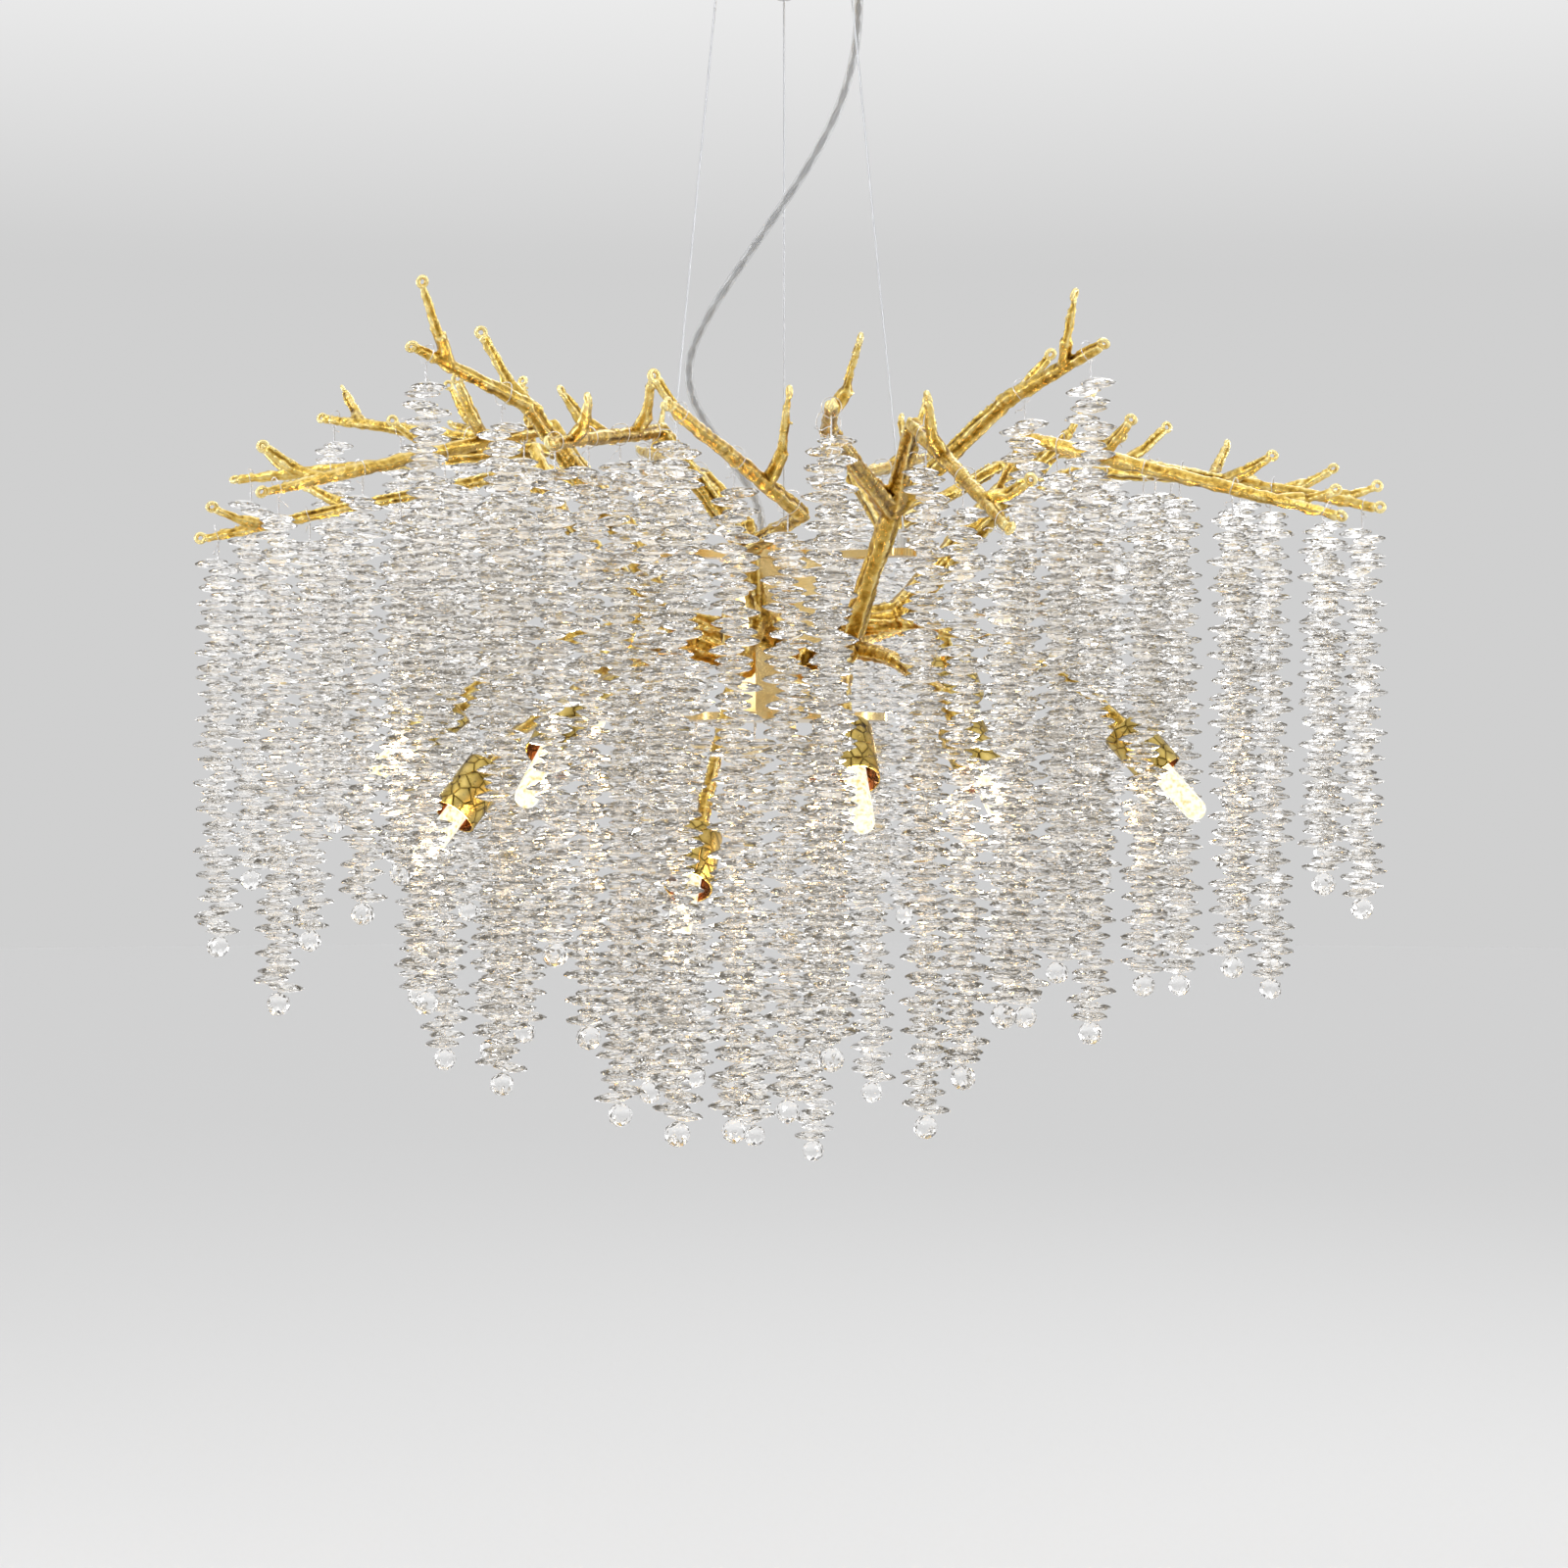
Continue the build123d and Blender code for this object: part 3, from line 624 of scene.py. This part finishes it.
# how far a lens may stray: side and tilt in radians, offset and size as shares
SIDE_PLAY = 0.3
OFFSET_PLAY = (0.75, 1.05)
TILT_PLAY = (-0.08, 0.14)
SIZE_PLAY = (0.94, 1.0)
BALL_RADIUS = 0.0075
WIRE_RADIUS = 0.00028
WIRE_BELOW_HOOK = 0.012
WIRE_IN_BALL = 0.002
TWIST_RADIUS = 0.0005
TWIST_TURN = 1.6
TWIST_STEP = 0.0012
TWIST_POINTS = 10
LOOP_POINTS = 9
LOOP_SPARE = 0.0010
LOOP_EASE = 0.12
LOOP_PLAY = (0.05, 0.4)
LOOP_SWAY = (-0.0012, 0.0012)
HOOK_DROP = 0.0040
HOOK_RADIUS = 0.0022
TAIL_START = 0.003
TAIL_BENDS = 4
TAIL_LEFT = (-0.001, 0.0040)
TAIL_ALONG = (-0.003, 0.003)
TAIL_RISE = (-0.0035, 0.0020)

# a trace of warm glow on every facet stands for the lamplight that goes round in the crystals
crystal = Paint("cut_crystal", Base_Color=(1.0, 1.0, 1.0, 1), Roughness=0.0, IOR=1.5,
                Transmission_Weight=1.0, Emission_Color=(1.0, 0.90, 0.75, 1),
                Emission_Strength=0.017)
crystal.material.cycles.emission_sampling = "NONE"
silver = Paint("silver_wire", Base_Color=(0.80, 0.80, 0.82, 1), Metallic=1.0)
silver.set(Roughness=silver.noise(700) * 0.2 + 0.12)


def lens_model():
    """One cut lens, lying flat: a girdle, two bands of facets and a small table on each side."""
    bpy.ops.mesh.primitive_circle_add(vertices=DISC_SIDES, radius=DISC_RADIUS, fill_type="NGON")
    lens = bpy.context.object
    edit(lens)
    bpy.ops.mesh.select_all(action="SELECT")
    for rise, share, turned in FACET_BANDS:
        bpy.ops.mesh.extrude_region_move(TRANSFORM_OT_translate={"value": (0, 0, rise)})
        bpy.ops.transform.resize(value=(share, share, 1), center_override=(0, 0, 0))
        if turned:
            bpy.ops.transform.rotate(value=math.pi / DISC_SIDES, orient_axis="Z",
                                     center_override=(0, 0, 0))
    leave_edit()
    other_side = lens.modifiers.new("other side", "MIRROR")
    other_side.use_axis = (False, False, True)
    apply_modifiers(lens)
    edit(lens)
    bpy.ops.mesh.select_all(action="SELECT")
    bpy.ops.mesh.normals_make_consistent(inside=False)
    leave_edit()
    return lens


def ball_model():
    """The cut ball at a strand's foot."""
    bpy.ops.mesh.primitive_ico_sphere_add(subdivisions=2, radius=BALL_RADIUS)
    return bpy.context.object


def strand_ends(mesh):
    """For each strand of a row, the middle of its wire's top end and the level of its foot."""
    shape = bmesh.new()
    shape.from_mesh(mesh)
    bmesh.ops.remove_doubles(shape, verts=shape.verts, dist=SAME_PLACE)
    loose = set(shape.verts)
    ends = []
    while loose:
        found = [loose.pop()]
        for vertex in found:
            for edge in vertex.link_edges:
                other = edge.other_vert(vertex)
                if other in loose:
                    loose.discard(other)
                    found.append(other)
        points = [vertex.co for vertex in found]
        top_level = max(p.z for p in points)
        ring = sorted((p for p in points if p.z > top_level - SAME_LEVEL), key=tuple)
        ends.append((sum(ring, Vector()) / len(ring), min(p.z for p in points)))
    shape.free()
    return sorted(ends, key=lambda end: (end[0].x, end[0].y))


def add_model(shape, model, matrix):
    """Adds a model's mesh, carried by a matrix, to a shape under construction."""
    before = len(shape.verts)
    shape.from_mesh(model.data)
    shape.verts.ensure_lookup_table()
    bmesh.ops.transform(shape, matrix=matrix, verts=shape.verts[before:])


def bent_wire(curve, points, closed=False):
    """One more soft-bent wire in a curve."""
    spline = curve.splines.new("NURBS")
    spline.points.add(len(points) - 1)
    for end, place in zip(spline.points, points):
        end.co = (*place, 1)
    spline.order_u = 3
    spline.use_cyclic_u = closed
    spline.use_endpoint_u = not closed


lens = lens_model()
ball = ball_model()
dice = random.Random(5)
for node in sorted(n for n in frame["nodes"] if n.startswith("strand_")):
    body = node.replace("strand_", "")
    joint = next(j for j in frame["joints"] if j["child"] == body)
    hinge = Vector(joint["pos_m"])
    along = Vector(joint["axis"]).normalized()
    left = Vector((0, 0, 1)).cross(along).normalized()
    over = along.cross(left)
    shape = bmesh.new()
    wire = bpy.data.curves.new(body + "_wires", "CURVE")
    wire.dimensions = "3D"
    wire.bevel_depth = WIRE_RADIUS
    wire.bevel_resolution = 1
    wire.resolution_u = 3
    for axis, foot_level in strand_ends(frame["nodes"][node].data):
        level = axis.z - WIRE_BELOW_HOOK
        ball_top = foot_level + 2 * BALL_RADIUS
        pairs = round((level - ball_top) / PAIR_PITCH)
        pitch = (level - ball_top) / pairs
        lean = dice.uniform(0, 2 * math.pi)
        for i in range(2 * pairs):
            # the two lenses of a pair lean out to opposite sides, and the next pair crosses it
            side = lean + math.pi * i + PAIR_TURN * (i // 2) + dice.uniform(-SIDE_PLAY, SIDE_PLAY)
            offset = DISC_OFFSET * dice.uniform(*OFFSET_PLAY)
            out = Vector((math.cos(side), math.sin(side), 0))
            middle = axis + out * offset
            middle.z = level - pitch * (i // 2 + 0.5) + (0.5 - i % 2) * PAIR_GAP
            tilt = Matrix.Rotation(dice.uniform(*TILT_PLAY), 4, Vector((-out.y, out.x, 0)))
            turn = Matrix.Rotation(dice.uniform(0, 2 * math.pi), 4, "Z")
            size = Matrix.Scale(dice.uniform(*SIZE_PLAY), 4)
            add_model(shape, lens, Matrix.Translation(middle) @ tilt @ turn @ size)
        spin = Matrix.Rotation(dice.uniform(0, 6), 4, "Z")
        foot = Matrix.Translation((axis.x, axis.y, foot_level + BALL_RADIUS))
        add_model(shape, ball, foot @ spin)
        # the wire runs down through the crystals and is twisted in two strands above them
        bent_wire(wire, [axis, Vector((axis.x, axis.y, ball_top - WIRE_IN_BALL))])
        for start in (0, math.pi):
            twist = []
            for k in range(TWIST_POINTS):
                angle = start + TWIST_TURN * k
                twist.append(axis + Vector((
                    TWIST_RADIUS * math.cos(angle), TWIST_RADIUS * math.sin(angle),
                    -TWIST_STEP * (k + 1),
                )))
            bent_wire(wire, twist)
        # a loop holds it round the tine, or on a small hook under the hub
        core = hinge + along * (axis - hinge).dot(along)
        reach = (axis - core).length + LOOP_SPARE
        if body == "row_centre":
            core, reach = axis - Vector((0, 0, HOOK_DROP)), HOOK_RADIUS
        loop = []
        for k in range(LOOP_POINTS):
            angle = 2 * math.pi * (k + 0.5) / LOOP_POINTS - math.pi / 2
            slack = max(0, math.sin(angle)) * dice.uniform(*LOOP_PLAY)
            wide = reach * (1 + slack + LOOP_EASE)
            loop.append(core + left * wide * math.cos(angle) + over * wide * math.sin(angle)
                        + along * dice.uniform(*LOOP_SWAY))
        bent_wire(wire, loop, closed=True)
        # and the wire's end is left as a short crooked tail
        if body != "row_centre":
            tail = [axis - Vector((0, 0, TAIL_START))]
            for k in range(TAIL_BENDS):
                tail.append(tail[-1] + left * dice.uniform(*TAIL_LEFT)
                            + along * dice.uniform(*TAIL_ALONG)
                            + Vector((0, 0, dice.uniform(*TAIL_RISE))))
            bent_wire(wire, tail)
    mesh = bpy.data.meshes.new(body + "_crystals")
    shape.to_mesh(mesh)
    shape.free()
    crystals = bpy.data.objects.new(body + "_crystals", mesh)
    scene.collection.objects.link(crystals)
    dress(crystals, crystal)
    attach(crystals, body)
    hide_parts(node)
    line = bpy.data.objects.new("line", wire)
    scene.collection.objects.link(line)
    bpy.context.view_layer.update()
    depsgraph = bpy.context.evaluated_depsgraph_get()
    mesh = bpy.data.meshes.new_from_object(line.evaluated_get(depsgraph))
    bpy.data.objects.remove(line)
    mesh.name = body + "_wires"
    mesh.shade_smooth()
    wires = bpy.data.objects.new(body + "_wires", mesh)
    scene.collection.objects.link(wires)
    dress(wires, silver)
    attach(wires, body)
for model in (lens, ball):
    bpy.data.objects.remove(model)


# ---- Hub and ceiling pieces ----
# Turned and sheared brass, gold plated, with nickel-plated grips and stops, a zinc-plated
# ceiling bar with its screws, and glazed porcelain sockets. They keep the shapes of their CAD
# solids.
PLATE_TONES = ((0.3, (0.80, 0.55, 0.20, 1)), (0.7, (0.95, 0.72, 0.34, 1)))
plate_gold = Paint("polished_gold", Metallic=1.0)
plate_gold.set(Base_Color=plate_gold.ramp(plate_gold.noise(90), *PLATE_TONES),
               Roughness=plate_gold.noise(400) * 0.15 + 0.12)
nickel = Paint("nickel_plate", Base_Color=(0.76, 0.75, 0.73, 1), Metallic=1.0)
nickel.set(Roughness=nickel.noise(500) * 0.12 + 0.1)
zinc = Paint("zinc_plate", Base_Color=(0.60, 0.60, 0.60, 1), Metallic=1.0)
zinc.set(Roughness=zinc.noise(120) * 0.25 + 0.3)
porcelain = Paint("porcelain", Base_Color=(0.90, 0.88, 0.82, 1), Roughness=0.25)
porcelain.bump(porcelain.noise(300), 0.0002, 0.3)
FINISHES = {
    "canopy": plate_gold, "canopy_screws": zinc, "ceiling_bracket": zinc,
    "cable_grips": nickel, "cable_stops": nickel, "cord_grip": plate_gold,
    "hub_gland": plate_gold, "hub_core": plate_gold, "hub_top_plate": plate_gold,
    "hub_bottom_plate": plate_gold, "hub_rod": plate_gold, "lamp_sockets": porcelain,
}
for node, paint in FINISHES.items():
    dress(frame["nodes"][node], paint)


# ---- Room ----
# A plain pale floor well below the light, a pale surround, and five soft lamps that face the
# middle of the crystals.
MIDDLE = (0, 0, -0.6)
SOFT_LAMPS = (  # name, place, width and power
    ("key_lamp", (-2.6, -2.6, 1.8), 1.0, 36),
    ("fill_lamp", (2.8, -1.8, 0.6), 0.8, 17),
    ("back_lamp", (1.0, 3.0, 1.6), 1.0, 16),
    ("left_lamp", (-2.4, 0.5, -0.5), 0.8, 12),
    ("right_lamp", (2.4, 0.8, -0.4), 0.8, 12),
)
FLOOR_LEVEL = -1.45
FLOOR_RADIUS = 15
SURROUND_TONES = (  # from straight down, at 0, to straight up, at 1
    (0.58, (0.63, 0.63, 0.63, 1)), (0.66, (1.05, 1.05, 1.05, 1)),
    (0.74, (1.05, 1.05, 1.05, 1)), (0.76, (0.09, 0.09, 0.10, 1)),
    (0.795, (0.09, 0.09, 0.10, 1)), (0.84, (1.15, 1.15, 1.15, 1)),
)
CRYSTAL_BOUNCES = 40  # a ray passes through many lenses before it leaves them

for name, place, width, power in SOFT_LAMPS:
    lamp = bpy.data.lights.new(name, "AREA")
    lamp.size = width
    lamp.energy = power
    light = bpy.data.objects.new(name, lamp)
    light.location = place
    light.rotation_euler = (Vector(MIDDLE) - Vector(place)).to_track_quat("-Z", "Y").to_euler()
    scene.collection.objects.link(light)

bpy.ops.mesh.primitive_circle_add(vertices=96, radius=FLOOR_RADIUS, fill_type="NGON",
                                  location=(0, 0, FLOOR_LEVEL))
floor = bpy.context.object
floor.name = "floor"
dress(floor, Paint("pale_floor", Base_Color=(0.66, 0.66, 0.66, 1), Roughness=0.9))

# the surround is grey at eye level, with a dark ring between bright bands higher up, so that
# gold and cut glass show their shape
world = bpy.data.worlds.new("pale_surround")
scene.world = world
world.use_nodes = True
surround = Nodes(world.node_tree, "Background")
direction = surround.node("ShaderNodeTexCoord", {}, out="Generated")
height = surround.node("ShaderNodeSeparateXYZ", {}, direction, out="Z")
surround.set(Color=surround.ramp(height * 0.5 + 0.5, *SURROUND_TONES))
scene.view_settings.view_transform = "Standard"
scene.cycles.max_bounces = CRYSTAL_BOUNCES
scene.cycles.transmission_bounces = CRYSTAL_BOUNCES
